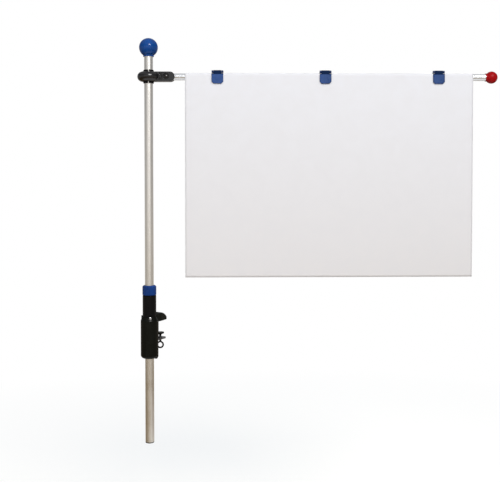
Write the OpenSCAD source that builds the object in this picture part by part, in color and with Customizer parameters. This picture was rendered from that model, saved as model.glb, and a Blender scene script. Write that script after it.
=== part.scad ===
// Tabletop plan holder. A clamp grips the edge of a table and carries an upright pole.
// An arm swivels on the pole and slides up and down it, and three spring clips on the
// arm hold the top edge of a large sheet. Millimetres, +Z up. The origin is the middle
// of the upper jaw's underside, so z = 0 is the table top, and +Y points into the table.

/* [Pole] */
// Outer diameter of the pole's tube
pole_d = 18; // [16:0.5:20]
// Wall of the pole's tube
pole_wall = 1.5; // [1:0.25:2.5]
// Length of the pole's tube
pole_len = 810.5; // [640:0.5:1000]
// Depth of the pole's lower end below the table top
pole_drop = 248; // [120:1:300]
// Thickness of the end plug's rim
plug_rim = 2; // [1:0.5:4]
// Chamfer around the end plug's rim
plug_edge = 0.6; // [0.2:0.1:0.8]
// Depth of the end plug inside the tube
plug_depth = 14; // [8:1:25]

/* [Ball ends] */
// Diameter of the ball on top of the pole
top_ball_d = 38.5; // [34:0.5:46]
// Wall of the top ball's neck around the pole
top_ball_rim = 2; // [1:0.25:4]
// Length of the top ball's neck
top_ball_neck = 2.8; // [1:0.1:6]
// Depth of the pole inside the top ball, past its neck
top_ball_grip = 11; // [8:0.5:16]
// Diameter of the ball on the arm's end
arm_ball_d = 25; // [22:1:32]
// Wall of the arm ball's neck around the arm
arm_ball_rim = 1.2; // [0.5:0.1:2]
// Length of the arm ball's neck
arm_ball_neck = 3.3; // [1:0.1:6]
// Depth of the arm inside its ball, past its neck
arm_ball_grip = 6.5; // [4:0.5:10]

/* [Clamp body] */
// Diameter of the clamp's body
body_d = 36.2; // [34:0.2:40]
// Height of the body's rim above the table top
body_rise = 12.5; // [11:0.5:17]
// Depth of the body below the table top
body_drop = 73.5; // [68:0.5:90]
// Rounding of the body's lower edge
body_round = 7; // [3:0.5:7]
// Height of the body's sloped shoulder
shoulder_h = 7.5; // [5:0.5:10]
// Wall of the body's rim around the holder sleeve
rim_wall = 0.9; // [0.6:0.1:1.6]
// Distance from the pole's axis to the face that meets the table's edge
back_l = 19; // [18:0.25:24]
// How far that face stands proud of the spine below it
land_t = 0.8; // [0.4:0.1:1]
// Depth of that face's lower edge below the table top
land_drop = 34; // [28:0.5:34]
// Width of the spine behind the body
spine_w = 17; // [15.6:0.2:20]
// Depth of the spine below the body
spine_extra = 3; // [3:0.5:10]
// Thickness of the body's floor under the liner
floor_t = 2; // [1.5:0.25:4]

/* [Upper jaw] */
// Distance from the pole's axis to the origin at the middle of the jaw's face
jaw_mid_l = 30; // [25:0.5:36]
// Distance from the pole's axis to the jaw's tip
jaw_l = 52; // [44:0.5:60]
// Width of the jaw where it leaves the body
jaw_w = 18; // [14:0.5:24]
// Distance from the pole's axis to where the jaw starts to narrow
jaw_taper_l = 27; // [22:0.5:32]
// Radius of the jaw's tip, seen from above
jaw_end_r = 5.5; // [4.5:0.25:7]
// Height of the jaw's crown above the table top
jaw_h = 19; // [18:0.5:24]
// Height of the jaw's edge at its tip
jaw_lip = 2.5; // [1:0.25:5]
// Distance from the pole's axis to the highest point of the jaw
jaw_crown_l = 20; // [16:0.5:26]
// Radius of the jaw's crowned cross-section
jaw_crown_r = 14; // [12:0.5:20]
// Thickness of the jaw's rubber pad
jaw_pad_t = 2; // [1:0.25:3]
// How far the pad stands proud of the jaw
jaw_pad_proud = 0.5; // [0.2:0.1:1]
// Margin of the jaw around its pad
jaw_pad_margin = 2.5; // [1.5:0.25:4]

/* [Holder sleeve] */
// Outer diameter of the holder sleeve
sleeve_d = 28; // [26.5:0.25:29]
// Height of the sleeve's shoulder above the table top
sleeve_rise = 57; // [40:1:90]
// Chamfer around the sleeve's shoulder
sleeve_edge = 0.8; // [0.3:0.1:1.2]
// Depth of the sleeve's lower end below the table top
sleeve_drop = 30; // [20:1:40]
// Diameter of the threaded neck that takes the collar nut
neck_d = 24.4; // [24:0.1:25]
// Height of the threaded neck
neck_h = 12; // [9:0.5:14]
// Smaller radius of the neck's cone, beyond the pole's own
cone_in = 0.9; // [0.8:0.05:1.1]
// Wall left at the top of the neck's cone
cone_wall = 0.9; // [0.6:0.1:1.2]
// Wall of the liner around the pole
liner_wall = 1.64; // [1.2:0.05:1.9]
// Width of the liner's slit
liner_slit = 1.5; // [1:0.25:3]
// Height of the sleeve screws above the table top
sleeve_screw_z = 11; // [8:0.25:13]
// Angle of the sleeve screws to either side of the front
sleeve_screw_turn = 48; // [30:1:60]
// Diameter of the sleeve screws' shanks
sleeve_screw_d = 3; // [2.5:0.25:4]
// Diameter of the sleeve screws' heads
sleeve_head_d = 6; // [5:0.25:7]
// Thickness of the sleeve screws' heads
sleeve_head_t = 1.8; // [1.2:0.1:2.4]
// Wall of the boss around each sleeve screw
boss_wall = 1.6; // [1:0.1:2.5]

/* [Collar nut] */
// Outer diameter of the collar nut
collar_d = 28.5; // [28:0.25:32]
// Height of the collar nut
collar_h = 19.4; // [16:0.2:24]
// Gap between the collar nut and the sleeve's shoulder
collar_gap = 1.2; // [0.8:0.1:2]
// Chamfer around the collar nut's top
collar_chamfer = 2.4; // [1:0.1:3]
// Number of grip flutes around the collar nut
flute_count = 20; // [12:1:28]
// Depth of a grip flute
flute_depth = 0.5; // [0.3:0.05:0.7]
// Width of the collet ring's slit
collet_slit = 2; // [1:0.25:3]
// Height of the collet ring
collet_h = 12; // [10:0.5:13]

/* [Lower jaw] */
// Thickness of the steel bracket
bracket_t = 2.5; // [2:0.25:3]
// Width of the bracket's flat arm
bracket_w = 18; // [14:0.5:22]
// Distance from the pole's axis to the bracket's rounded end
bracket_l = 47; // [44:0.5:60]
// Depth of the bracket's upper face below the table top
bracket_z = 36; // [35.5:0.5:42]
// Width of the bracket's leg on the spine
leg_w = 15; // [12:0.5:15]
// Length of the bracket's leg down the spine
leg_len = 27; // [22:1:28]
// Diameter of the screws that hold the bracket
leg_screw_d = 3.5; // [3:0.25:4]
// Diameter of their heads
leg_head_d = 6.5; // [5.5:0.25:7.5]
// Thickness of their heads
leg_head_t = 1.8; // [1.2:0.1:2.4]
// Length of their shanks
leg_screw_len = 4.5; // [3:0.25:4.5]
// Distance from the pole's axis to the clamp screw
screw_l = 34; // [32:0.5:40]
// Diameter of the clamp screw
screw_d = 5; // [4:0.25:6]
// Outer diameter of the threaded collar drawn up from the bracket
thread_collar_d = 8.5; // [7.5:0.25:10]
// Height of that collar
thread_collar_h = 1; // [1:0.25:2.5]
// Thickness of the table top that the jaws hold at rest
grip_t = 25; // [22:0.5:26]
// Diameter of the pressure pad
pad_d = 16; // [12:0.5:18]
// Thickness of the pressure pad's disc
pad_t = 2.6; // [2:0.2:3]
// Diameter of the cup under the pressure pad
cup_d = 8.5; // [7.5:0.25:11]
// Height of the cup under the pressure pad
cup_h = 1.8; // [1.8:0.1:2.6]
// Radius of the ring handle, to the middle of its wire
ring_r = 6.1; // [5:0.1:8]
// Diameter of the ring handle's wire
ring_wire = 3.4; // [2.5:0.1:4]
// Distance from the ring's centre to its pointed top
ring_tip = 7.2; // [6.8:0.1:11]
// Depth of the ring's pointed top below the bracket
ring_drop = 6; // [5.8:0.1:10]
// Turn of the ring handle at rest, from the jaws' cross direction
ring_turn = 35; // [-90:1:90]

/* [Swivel hub] */
// Depth of the arm's axis below the pole's upper end
arm_below = 55; // [44:1:300]
// Direction of the arm, turned from +X towards +Y
arm_turn = 35; // [-180:1:180]
// Radius of the hub's round end
hub_r = 23; // [21:0.5:28]
// Height of the hub
hub_h = 20; // [19:0.5:26]
// Height of the hub's bar around the arm
bar_h = 19.5; // [19:0.5:24]
// Thickness of the hub's bar, front to back
bar_t = 22; // [21:0.5:26]
// Distance from the pole's axis to the bar's rounded end
bar_l = 54; // [50:1:70]
// Radius of the bar's crowned cross-section
bar_crown_r = 13.5; // [13:0.25:20]
// Gap between the hub's two shells
shell_gap = 0.6; // [0.3:0.1:1]
// Outer diameter of the split bush inside the hub
bush_d = 20.4; // [20:0.1:22]
// Outer diameter of the split bush's end rims
bush_rim_d = 21.6; // [21:0.1:24]
// Height of each end rim of the split bush
bush_rim_h = 3.6; // [2:0.1:6]
// Width of the split bush's slit
bush_slit = 1.8; // [1:0.1:3]
// Distance from the pole's axis to the arm screw
arm_screw_l = 36.5; // [35:0.5:40]
// Diameter of the arm screw
arm_screw_d = 4; // [3:0.25:5]
// Diameter of the arm screw's head
arm_head_d = 7.5; // [6:0.25:9]
// Thickness of the arm screw's head
arm_head_t = 2.2; // [1.5:0.1:2.4]
// Diameter of the counterbore around that head
counterbore_d = 12.6; // [10:0.2:14]
// Width across the flats of the arm nut
arm_nut_af = 7; // [6:0.25:8]
// Thickness of the arm nut
arm_nut_t = 2.2; // [1.8:0.1:2.4]
// Depth of the recess with the crossed ribs
cross_depth = 2.2; // [1:0.1:2.5]
// Width of a crossed rib
cross_rib = 1.6; // [1:0.1:2.5]
// Length of the recess along the arm
cross_l = 9.5; // [6:0.5:10]

/* [Arm] */
// Outer diameter of the arm's tube
arm_d = 14; // [13:0.5:16]
// Wall of the arm's tube
arm_wall = 1.5; // [1:0.25:2.5]
// Length of the arm's tube
arm_len = 677; // [640:1:800]
// Distance from the pole's axis to the arm's inner end
arm_start = 29.3; // [28:0.1:31]

/* [Clips] */
// Place of the first clip, as a share of the sheet's width from its near edge
clip_1_share = 0.112; // [0.05:0.002:0.2]
// Place of the second clip
clip_2_share = 0.486; // [0.4:0.002:0.6]
// Place of the third clip
clip_3_share = 0.88; // [0.8:0.002:0.95]
// Width of a clip along the arm
clip_w = 23.8; // [22:0.2:34]
// Wall of the saddle that wraps the arm
saddle_wall = 2.4; // [1.8:0.1:3]
// Half of the angle that the saddle leaves open at the front
saddle_open = 45; // [35:1:55]
// Thickness of the flap
flap_t = 2; // [1.5:0.1:3]
// Depth of the flap's lower edge below the arm's axis
flap_drop = 14.5; // [12:0.5:24]
// Chamfer of the flap's lower corners
flap_chamfer = 4; // [1:0.5:6]
// Height of the flap's hinge above the arm's axis
hinge_w = 9.8; // [9.6:0.1:12]
// Diameter of the hinge pin
pin_d = 2; // [1.6:0.1:2.4]
// Diameter of the hinge pin's head
pin_head_d = 3.2; // [2.6:0.1:4]
// Thickness of the hinge pin's head
pin_head_t = 0.8; // [0.5:0.1:1.5]
// Radius of the saddle's hinge lugs
lug_r = 3; // [2.6:0.1:3.3]
// Width of each saddle lug
lug_w = 3.6; // [2.5:0.1:5]
// Radius of the bay around the spring
bay_r = 2.6; // [2.5:0.05:2.7]
// Wall of the hood over the spring
hood_wall = 0.8; // [0.6:0.1:1.2]
// Angle of the hood from the front over the top
hood_angle = 120; // [90:1:130]
// Width of each flap lug
flap_lug_w = 3.4; // [2:0.1:4]

/* [Springs] */
// Diameter of the spring's wire
wire_d = 0.8; // [0.6:0.05:0.85]
// Radius of the spring's coil, to the middle of its wire
coil_r = 1.9; // [1.8:0.05:1.95]
// Advance of the coil for each turn
coil_pitch = 1.35; // [1.3:0.05:1.8]
// Full turns of the coil before its last quarter
coil_turns = 4; // [2:1:4]
// Length of the spring's front leg
front_leg = 1.1; // [0.5:0.1:1.1]
// Length of the spring's back leg
back_leg = 2.6; // [1.5:0.1:2.6]

/* [Sheet] */
// Width of the sheet
sheet_w = 594; // [420:1:610]
// Height of the sheet
sheet_h = 420; // [297:1:594]
// Thickness of the sheet
sheet_t = 0.3; // [0.2:0.05:0.4]
// Distance from the pole's axis to the sheet's near edge
sheet_l = 75; // [65:1:100]

/* [Clearances] */
// Radial clearance of a shaft that turns or slides in its hole
fit = 0.06; // [0.02:0.01:0.1]
// Gap between faces that move past each other
seat = 0.3; // [0.25:0.05:0.4]
// Radial clearance around fixed screws and pins
slip = 0.04; // [0.02:0.01:0.1]

/* [Hidden] */

$fn = 72;
// Overcut of a hole past the face that it opens in
past = 1;

black = "#1c1c1f";
blue = "#26478a";
red = "#c01b22";
alloy = "#c9c4ba";
steel = "#b4b6ba";
rubber = "#2a2a2a";
paper = "#e8e8ea";

// Radii that several pieces share
pole_r = pole_d / 2;
guide_r = pole_r + fit;
liner_r = guide_r + liner_wall;
sleeve_r = sleeve_d / 2;
body_r = body_d / 2;
neck_r = neck_d / 2;
arm_r = arm_d / 2;
arm_bore_r = arm_r - arm_wall;
pole_bore_r = pole_r - pole_wall;
pole_top = pole_len - pole_drop;
arm_h = pole_top - arm_below;
leg_face_l = back_l - land_t;

// Heights inside the clamp
jaw_face_z = jaw_pad_proud;
neck_lead = 1.5;
cone_z = sleeve_rise + neck_lead;
neck_top = sleeve_rise + neck_h;
cone_low_r = pole_r + cone_in;
cone_top_r = neck_r - cone_wall;
collar_z = sleeve_rise + collar_gap;
collar_top = collar_z + collar_h;
collet_proud = 3.5;
collet_top = neck_top + collet_proud;
collet_z = collet_top - collet_h;
collet_gap = 0.2;

// Distance from a ball's centre to where its sphere has shrunk to its neck
function neck_depth(ball_d, neck_r) = sqrt(pow(ball_d / 2, 2) - pow(neck_r, 2));

// Radius of the neck's cone at a height
function cone_r(z) = cone_low_r + (cone_top_r - cone_low_r) * (z - cone_z) / (neck_top - cone_z);

// The jaw's top is an arc from its highest point down to the lip at its tip
jaw_fall = jaw_h - jaw_lip;
jaw_arc_r = (pow(jaw_l - jaw_crown_l, 2) + pow(jaw_fall, 2)) / (2 * jaw_fall);

// Places across the arm, measured from the arm's axis towards the front
sheet_back = arm_r + seat;
sheet_front = sheet_back + sheet_t;
flap_in = sheet_front + seat;
flap_out = flap_in + flap_t;
hood_r = bay_r + hood_wall;
hinge_v = flap_out - hood_r;
saddle_r = arm_r + fit + saddle_wall;
sheet_top = hinge_w - sqrt(pow(bay_r, 2) - pow(sheet_back - hinge_v, 2)) - seat;
head_wall = 1.1;
head_seat = arm_r + head_wall;
clip_places = [for (share = [clip_1_share, clip_2_share, clip_3_share]) sheet_l + share * sheet_w];

module at_pole() translate([0, -jaw_mid_l, 0]) children();

module at_arm() at_pole() translate([0, 0, arm_h]) rotate(arm_turn) children();

module at_screw() at_pole() translate([0, screw_l, 0]) children();

// An outline drawn as front distance and height, drawn out along the arm
module along_arm(length) rotate([90, 0, -90]) linear_extrude(length, center = true) children();

// An outline drawn as arm distance and height, drawn out from one front distance to another
module to_front(from, to) rotate([90, 0, 0]) translate([0, 0, from]) linear_extrude(to - from) children();

// A side outline drawn as distance from the pole and height, as wide as the piece
module side_plate(width) rotate([90, 0, 90]) linear_extrude(width, center = true) children();

// A tube or rod on its own axis, from one height to another
module tube(outer_r, inner_r, low, high) translate([0, 0, low]) difference() {
  cylinder(h = high - low, r = outer_r);
  translate([0, 0, -past]) cylinder(h = high - low + 2 * past, r = inner_r);
}

module rod(r, low, high) translate([0, 0, low]) cylinder(h = high - low, r = r);

// Lays a rod out from the pole's axis at a turn and a height
module radial(turn, z) translate([0, 0, z]) rotate([0, 90, turn]) children();

// Both sleeve screws, mirrored about the clamp's middle plane
module each_sleeve_screw() for (side = [-1, 1]) radial(-90 + side * sleeve_screw_turn, sleeve_screw_z) children();

// Table clamp

module body_outline() {
  shoulder_z = body_rise - shoulder_h;
  rim_r = sleeve_r + fit + rim_wall;
  intersection() {
    union() {
      polygon([[0, -body_drop + body_round], [body_r, -body_drop + body_round], [body_r, shoulder_z],
               [rim_r, body_rise], [0, body_rise]]);
      translate([body_r - body_round, body_round - body_drop]) circle(body_round);
      translate([0, -body_drop]) square([body_r - body_round, body_round]);
    }
    translate([0, -body_drop]) square([body_r, body_drop + body_rise]);
  }
}

module spine_outline() {
  low = -body_drop - spine_extra;
  foot_wall = 1.5;
  foot_edge = 4;
  foot_l = guide_r + seat + foot_wall;
  polygon([[0, -body_drop + body_round], [foot_l, low], [leg_face_l - foot_edge, low], [leg_face_l, low + foot_edge],
           [leg_face_l, -land_drop - land_t], [back_l, -land_drop],
           [back_l, jaw_face_z + jaw_lip], [0, jaw_face_z + jaw_lip]]);
}

// The jaw from above, in by a margin. Its sides narrow and run tangent into its rounded tip.
module jaw_plan(margin) {
  half = jaw_w / 2 - margin;
  end_r = jaw_end_r - margin;
  end_l = jaw_l - jaw_end_r;
  reach = end_l - jaw_taper_l;
  lean = atan(half / reach) - asin(end_r / norm([half, reach]));
  side_x = end_r * cos(lean);
  side_l = end_l + end_r * sin(lean);
  polygon([[-half, 0], [half, 0], [half, jaw_taper_l], [side_x, side_l], [-side_x, side_l], [-half, jaw_taper_l]]);
  translate([0, end_l]) circle(end_r);
}

module jaw_outline() intersection() {
  translate([0, jaw_face_z]) square([jaw_l, jaw_h - jaw_face_z]);
  union() {
    translate([jaw_crown_l, jaw_h - jaw_arc_r]) circle(jaw_arc_r);
    square([jaw_crown_l, jaw_h]);
  }
}

module upper_jaw() intersection() {
  side_plate(jaw_w) jaw_outline();
  linear_extrude(jaw_h) jaw_plan(0);
  translate([0, 0, jaw_h - jaw_crown_r]) rotate([-90, 0, 0]) cylinder(h = jaw_l, r = jaw_crown_r);
}

module pad_plan(gap) intersection() {
  jaw_plan(jaw_pad_margin + gap);
  translate([-jaw_w, back_l + jaw_pad_margin + gap]) square([2 * jaw_w, jaw_l]);
}

module clamp_body() color(black) at_pole() difference() {
  union() {
    rotate_extrude() body_outline();
    side_plate(spine_w) spine_outline();
    upper_jaw();
    each_sleeve_screw() cylinder(h = sleeve_r + fit + rim_wall + sleeve_head_t, r = sleeve_head_d / 2 + boss_wall);
  }
  rod(sleeve_r + fit, -sleeve_drop, jaw_h + past);
  rod(liner_r + fit, -body_drop + floor_t, past - sleeve_drop);
  rod(pole_r + seat, -body_drop - spine_extra - past, past - body_drop + floor_t);
  linear_extrude(jaw_pad_t) pad_plan(0);
  each_sleeve_screw() {
    cylinder(h = body_d, r = sleeve_screw_d / 2 + slip);
    translate([0, 0, sleeve_r + fit + rim_wall]) cylinder(h = body_d, r = sleeve_head_d / 2 + seat);
  }
  bracket_recess();
  each_leg_screw() rod(leg_screw_d / 2 + slip, -leg_screw_len - seat, past);
}

module jaw_pad() color(rubber) at_pole() linear_extrude(jaw_pad_t - slip) pad_plan(slip);

module holder_sleeve() color(black) at_pole() difference() {
  union() {
    rod(sleeve_r, -sleeve_drop, sleeve_rise - sleeve_edge);
    translate([0, 0, sleeve_rise - sleeve_edge]) cylinder(h = sleeve_edge, r1 = sleeve_r, r2 = sleeve_r - sleeve_edge);
    rod(neck_r, sleeve_rise - past, neck_top);
  }
  rod(liner_r + fit, -sleeve_drop - past, cone_z);
  translate([0, 0, cone_z - past]) cylinder(h = neck_top - cone_z + past, r1 = cone_r(cone_z - past), r2 = cone_top_r);
  translate([0, 0, neck_top - slip]) cylinder(h = past, r = cone_top_r);
  each_sleeve_screw() cylinder(h = body_d, r = sleeve_screw_d / 2 + slip);
}

module sleeve_screws() color(steel) at_pole() each_sleeve_screw() {
  head_z = sleeve_r + fit + rim_wall;
  rod(sleeve_screw_d / 2, liner_r + seat, head_z + slip);
  rod(sleeve_head_d / 2, head_z + slip, head_z + sleeve_head_t);
}

module pole_liner() color(black) at_pole() difference() {
  tube(liner_r, guide_r, seat - body_drop + floor_t, cone_z - past - seat);
  translate([-liner_slit / 2, 0, -body_drop]) cube([liner_slit, liner_r + past, body_drop + neck_top]);
}

module collet_ring() color(black) at_pole() difference() {
  union() {
    translate([0, 0, collet_z])
      cylinder(h = neck_top - collet_z, r1 = cone_r(collet_z) - collet_gap, r2 = cone_top_r - collet_gap);
    rod(cone_top_r - collet_gap, neck_top, collet_top);
  }
  rod(guide_r, collet_z - past, collet_top + past);
  translate([-collet_slit / 2, 0, collet_z - past]) cube([collet_slit, neck_r, collet_h + 2 * past]);
}

module collar_nut() color(blue) at_pole() difference() {
  collar_r = collar_d / 2;
  flute_r = 1;
  union() {
    rod(collar_r, collar_z, collar_top - collar_chamfer);
    translate([0, 0, collar_top - collar_chamfer])
      cylinder(h = collar_chamfer, r1 = collar_r, r2 = collar_r - collar_chamfer);
  }
  rod(neck_r + fit, collar_z - past, collet_top + seat);
  rod(pole_r + seat, collet_top, collar_top + past);
  for (i = [0 : flute_count - 1]) rotate((i + 0.5) * 360 / flute_count)
    translate([collar_r + flute_r - flute_depth, 0, collar_z - past]) cylinder(h = collar_h + 2 * past, r = flute_r, $fn = 24);
}

// Lower jaw

module bracket_outline() {
  low = -bracket_z - leg_len;
  in_l = leg_face_l - bracket_t;
  difference() {
    polygon([[in_l, low], [leg_face_l, low], [leg_face_l, -bracket_z - bracket_t],
             [bracket_l, -bracket_z - bracket_t], [bracket_l, -bracket_z], [in_l, -bracket_z]]);
    difference() {
      translate([in_l - slip, -bracket_z - bracket_t]) square(bracket_t + slip);
      translate([leg_face_l, -bracket_z - bracket_t]) circle(bracket_t);
    }
  }
}

module bracket_plan() {
  end_r = bracket_w / 2;
  translate([-end_r, back_l + seat]) square([bracket_w, bracket_l - end_r - back_l - seat]);
  translate([-leg_w / 2, 0]) square([leg_w, back_l + past]);
  translate([0, bracket_l - end_r]) circle(end_r);
}

module bracket_recess() {
  low = -bracket_z - leg_len - seat;
  translate([-leg_w / 2 - slip, leg_face_l - bracket_t, low]) cube([leg_w + 2 * slip, bracket_t + past, -bracket_z + slip - low]);
}

module each_leg_screw() for (share = [0.36, 0.76])
  translate([0, leg_face_l - bracket_t, -bracket_z - share * leg_len]) rotate([-90, 0, 0]) children();

module lower_bracket() color(steel) at_pole() difference() {
  union() {
    intersection() {
      side_plate(bracket_w) bracket_outline();
      translate([0, 0, -bracket_z - leg_len - past]) linear_extrude(leg_len + 2 * past) bracket_plan();
    }
    translate([0, screw_l, 0]) rod(thread_collar_d / 2, -bracket_z - bracket_t / 2, -bracket_z + thread_collar_h);
  }
  translate([0, screw_l, 0]) rod(screw_d / 2 + fit, -bracket_z - bracket_t - past, -bracket_z + thread_collar_h + past);
  each_leg_screw() rod(leg_screw_d / 2 + slip, -past, bracket_t + past);
}

module bracket_screws() color(steel) at_pole() each_leg_screw() {
  rod(leg_screw_d / 2, -leg_screw_len, bracket_t);
  rod(leg_head_d / 2, bracket_t, bracket_t + leg_head_t);
}

module pressure_pad() color(black) at_screw() difference() {
  union() {
    rod(pad_d / 2, -grip_t - pad_t, -grip_t);
    rod(cup_d / 2, -grip_t - pad_t - cup_h, -grip_t - pad_t / 2);
  }
  rod(screw_d / 2 + fit, -grip_t - pad_t - cup_h - past, -grip_t - pad_t);
}

// A ring of wire with a pointed top, hanging from the screw's lower end
module teardrop_ring() {
  lean = acos(ring_r / ring_tip);
  reach = sqrt(pow(ring_tip, 2) - pow(ring_r, 2));
  rotate([90, 0, 0]) {
    rotate(90 + lean) rotate_extrude(angle = 360 - 2 * lean) translate([ring_r, 0]) circle(ring_wire / 2);
    for (side = [-1, 1]) rotate(90 + side * lean) translate([ring_r, 0, 0])
      rotate([side * 90, 0, 0]) cylinder(h = reach, r = ring_wire / 2);
  }
  translate([0, 0, ring_tip]) sphere(ring_wire / 2);
}

module clamp_screw() color(steel) at_screw() {
  tip_z = -bracket_z - bracket_t - ring_drop;
  rod(screw_d / 2, tip_z + ring_wire / 2, -grip_t - pad_t - slip);
  translate([0, 0, tip_z]) cylinder(h = ring_wire / 2, r1 = ring_wire / 2, r2 = screw_d / 2);
  translate([0, 0, tip_z - ring_tip]) rotate(ring_turn) teardrop_ring();
}

// Pole

module pole_tube() color(alloy) at_pole() tube(pole_r, pole_bore_r, -pole_drop, pole_top);

module pole_end_plug() color(black) at_pole() {
  translate([0, 0, -pole_drop - plug_rim]) cylinder(h = plug_edge, r1 = pole_r - plug_edge, r2 = pole_r);
  rod(pole_r, plug_edge - pole_drop - plug_rim, -pole_drop);
  rod(pole_bore_r - slip, -pole_drop, -pole_drop + plug_depth);
}

// A ball on the end of a tube, with a short neck and a blind hole for the tube
module ball_end(ball_d, tube_r, rim, grip, neck) {
  depth = neck_depth(ball_d, tube_r + rim);
  difference() {
    union() {
      translate([0, 0, depth - grip]) sphere(ball_d / 2);
      rod(tube_r + rim, -grip - neck, 0);
    }
    translate([0, 0, -ball_d]) cylinder(h = ball_d + slip, r = tube_r + slip);
  }
}

module top_ball() color(blue) at_pole() translate([0, 0, pole_top]) ball_end(top_ball_d, pole_r, top_ball_rim, top_ball_grip, top_ball_neck);

// Swivel hub

module hub_outline() intersection() {
  union() {
    translate([hub_r - hub_h / 2, 0]) circle(hub_h / 2);
    translate([0, -hub_h / 2]) square([hub_r - hub_h / 2, hub_h]);
  }
  translate([0, -hub_h]) square([hub_r, 2 * hub_h]);
}

module bar_outline() {
  end_r = bar_h / 2;
  translate([0, -end_r]) square([bar_l - end_r, bar_h]);
  translate([bar_l - end_r, 0]) circle(end_r);
}

module cross_outline() {
  high = arm_d;
  wall = 1;
  start = arm_screw_l - counterbore_d / 2 - wall - cross_l;
  slope = atan(high / cross_l);
  diagonal = sqrt(pow(high, 2) + pow(cross_l, 2));
  translate([start, -high / 2]) difference() {
    square([cross_l, high]);
    for (side = [-1, 1]) translate([cross_l / 2, high / 2]) rotate(side * slope) square([diagonal, cross_rib], center = true);
  }
}

// The whole hub before it is cut into shells, with both cross recesses, the bush's hole and the arm's hole
module hub_block() difference() {
  union() {
    rotate_extrude() hub_outline();
    intersection() {
      to_front(-bar_t / 2, bar_t / 2) bar_outline();
      rotate([0, 90, 0]) cylinder(h = bar_l, r = bar_crown_r);
    }
  }
  to_front(bar_t / 2 - cross_depth, bar_t) cross_outline();
  to_front(-bar_t, cross_depth - bar_t / 2) cross_outline();
  rod(bush_d / 2 + fit, -hub_h, hub_h);
  translate([arm_start - seat, 0, 0]) rotate([0, 90, 0]) cylinder(h = bar_l, r = arm_r + slip);
  translate([arm_screw_l, 0, 0]) rotate([90, 0, 0]) cylinder(h = bar_t + 2 * past, r = arm_screw_d / 2 + slip, center = true);
}

// The tongue at the hub's round end that keeps the two shells together
tongue_wall = 3.5;
tongue_t = 3;
tongue_w = 8;
tongue_root = 3;
tongue_tip = 2.5;
module tongue(gap) translate([tongue_wall - hub_r - gap, -tongue_root, -tongue_w / 2 - gap])
  cube([tongue_t + 2 * gap, tongue_root + tongue_tip + gap, tongue_w + 2 * gap]);

module hub_front_shell() color(black) at_arm() difference() {
  hub_block();
  translate([-hub_r - past, -shell_gap / 2, -hub_h]) cube([hub_r + bar_l + 2 * past, bar_t + hub_r, 2 * hub_h]);
  mirror([0, 1, 0]) tongue(fit);
  to_front(head_seat, bar_t) translate([arm_screw_l, 0]) circle(counterbore_d / 2);
}

module hub_rear_shell() color(black) at_arm() {
  difference() {
    hub_block();
    translate([-hub_r - past, shell_gap / 2 - bar_t - hub_r, -hub_h]) cube([hub_r + bar_l + 2 * past, bar_t + hub_r, 2 * hub_h]);
    to_front(-bar_t, -head_seat) translate([arm_screw_l, 0]) nut_outline(slip);
  }
  mirror([0, 1, 0]) tongue(0);
}

module nut_outline(gap) circle((arm_nut_af / 2 + gap) / cos(30), $fn = 6);

module arm_screw() color(steel) at_arm() translate([arm_screw_l, 0, 0]) rotate([90, 0, 0]) {
  rod(arm_screw_d / 2, -bar_t / 2, head_seat);
  rod(arm_head_d / 2, head_seat, head_seat + arm_head_t);
}

module arm_nut() color(steel) at_arm() to_front(-head_seat - arm_nut_t, -head_seat) translate([arm_screw_l, 0]) difference() {
  nut_outline(0);
  circle(arm_screw_d / 2 + slip);
}

module split_bush() color(black) at_pole() translate([0, 0, arm_h]) difference() {
  rim_z = hub_h / 2 + seat;
  rim_r = bush_rim_d / 2;
  union() {
    rod(bush_d / 2, -rim_z, rim_z);
    for (up = [0, 1]) mirror([0, 0, up]) {
      rod(rim_r, rim_z, rim_z + bush_rim_h - past);
      translate([0, 0, rim_z + bush_rim_h - past]) cylinder(h = past, r1 = rim_r, r2 = rim_r - past);
    }
  }
  rod(guide_r, -hub_h, hub_h);
  rotate(arm_turn + 5) translate([-bush_slit / 2, -hub_r, -hub_h]) cube([bush_slit, hub_r, 2 * hub_h]);
}

// Arm

module arm_tube() color(alloy) at_arm() difference() {
  translate([arm_start, 0, 0]) rotate([0, 90, 0]) tube(arm_r, arm_bore_r, 0, arm_len);
  translate([arm_screw_l, 0, 0]) rotate([90, 0, 0]) cylinder(h = bar_t, r = arm_screw_d / 2 + slip, center = true);
}

module arm_ball() color(red) at_arm() translate([arm_start + arm_len, 0, 0]) rotate([0, 90, 0])
  ball_end(arm_ball_d, arm_r, arm_ball_rim, arm_ball_grip, arm_ball_neck);

// Clips

module hinge_circle(r) translate([hinge_v, hinge_w]) circle(r, $fn = 48);

// Places its children at a clip and on both of the clip's sides
module at_clip(i) at_arm() translate([clip_places[i], 0, 0]) children();

module both_lugs(outer, width) for (side = [-1, 1]) translate([side * (outer - width / 2), 0, 0]) children();

// What the sheet's top edge and the open front keep free
module sheet_room() {
  translate([sheet_back - seat, -clip_w]) square([clip_w, clip_w + sheet_top + seat]);
}

module saddle_ring() difference() {
  circle(saddle_r);
  circle(arm_r + fit);
  polygon([[0, 0], [clip_w, clip_w * tan(saddle_open)], [clip_w, -clip_w * tan(saddle_open)]]);
}

module saddle_lug() difference() {
  union() {
    hinge_circle(lug_r);
    translate([hinge_v - lug_r, hinge_w / 2]) square([sheet_back - seat - hinge_v + lug_r, hinge_w / 2]);
  }
  circle(arm_r + fit);
  sheet_room();
  hinge_circle(pin_d / 2 + slip);
}

module saddle(i) color(blue) at_clip(i) {
  difference() {
    along_arm(clip_w) saddle_ring();
    along_arm(clip_w - 2 * lug_w) hinge_circle(hood_r + seat);
  }
  both_lugs(clip_w / 2, lug_w) along_arm(lug_w) saddle_lug();
}

module pin(i) color(steel) at_clip(i) translate([0, -hinge_v, hinge_w]) rotate([0, 90, 0]) {
  rod(pin_d / 2, -clip_w / 2, clip_w / 2);
  rod(pin_head_d / 2, clip_w / 2, clip_w / 2 + pin_head_t);
}

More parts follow.
